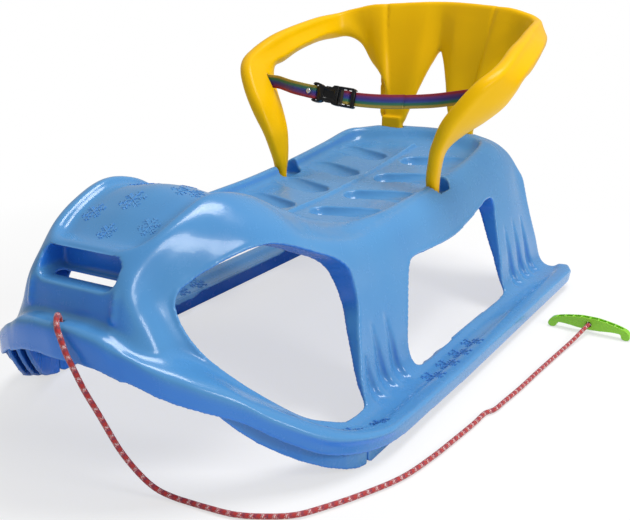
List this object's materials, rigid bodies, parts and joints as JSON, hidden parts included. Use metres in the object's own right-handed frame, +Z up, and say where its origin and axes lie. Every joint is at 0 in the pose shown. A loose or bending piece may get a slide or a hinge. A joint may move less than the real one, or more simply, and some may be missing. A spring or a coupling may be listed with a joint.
{
  "type": "baby pull sled",
  "caption": "Child's plastic pull sled with a plug-in backrest, a buckled lap belt and a pull cord with a handle.",
  "frame": {"origin": "on the floor, under the middle of the sled's own box with the cord left out", "axes": "+Z up, -Y towards the nose, +X to the left hand of a child who sits in the sled"},
  "size_m": [0.5535, 0.7854, 0.378],
  "materials": {
    "body_plastic": "glossy moulded polypropylene",
    "seat_plastic": "glossy moulded polypropylene",
    "webbing": "woven band in rainbow stripes",
    "rivet_metal": "plated steel tubular rivet",
    "buckle_plastic": "moulded acetal with a faint sheen",
    "cord_braid": "braided cord flecked in red, white and navy",
    "grip_plastic": "glossy moulded plastic"
  },
  "bodies": {
    "sled": {"sled_body": "body_plastic", "runner_front_left": "body_plastic", "runner_front_right": "body_plastic", "runner_rail_left": "body_plastic", "runner_rail_right": "body_plastic", "pull_cord": "cord_braid", "knot_nose": "cord_braid", "knot_grip": "cord_braid", "grip": "grip_plastic"},
    "seat_back": {"backrest": "seat_plastic", "strap_right": "webbing", "strap_left": "webbing", "rivet": "rivet_metal", "buckle_socket": "buckle_plastic"},
    "plug": {"buckle_plug": "buckle_plastic"},
    "prong_upper": {"buckle_prong_upper": "buckle_plastic"},
    "prong_lower": {"buckle_prong_lower": "buckle_plastic"}
  },
  "joints": [
    {"name": "backrest_lift", "type": "slide", "parent": "sled", "child": "seat_back", "axis": [0, 0, 1], "range_m": [0, 0.06]},
    {"name": "buckle_release", "type": "slide", "parent": "seat_back", "child": "plug", "axis": [0.9968, 0.0024, -0.08], "range_m": [0, 0.028], "deforming": ["strap_left"]},
    {"name": "prong_upper_press", "type": "hinge", "parent": "plug", "child": "prong_upper", "pos_m": [-0.0313, 0.13733, 0.27891], "axis": [0, 0.9511, -0.309], "range_deg": [-6, 0], "stiffness_Nm_per_rad": 0.05},
    {"name": "prong_lower_press", "type": "hinge", "parent": "plug", "child": "prong_lower", "pos_m": [-0.0313, 0.13276, 0.26484], "axis": [0, 0.9511, -0.309], "range_deg": [0, 6], "stiffness_Nm_per_rad": 0.05}
  ]
}
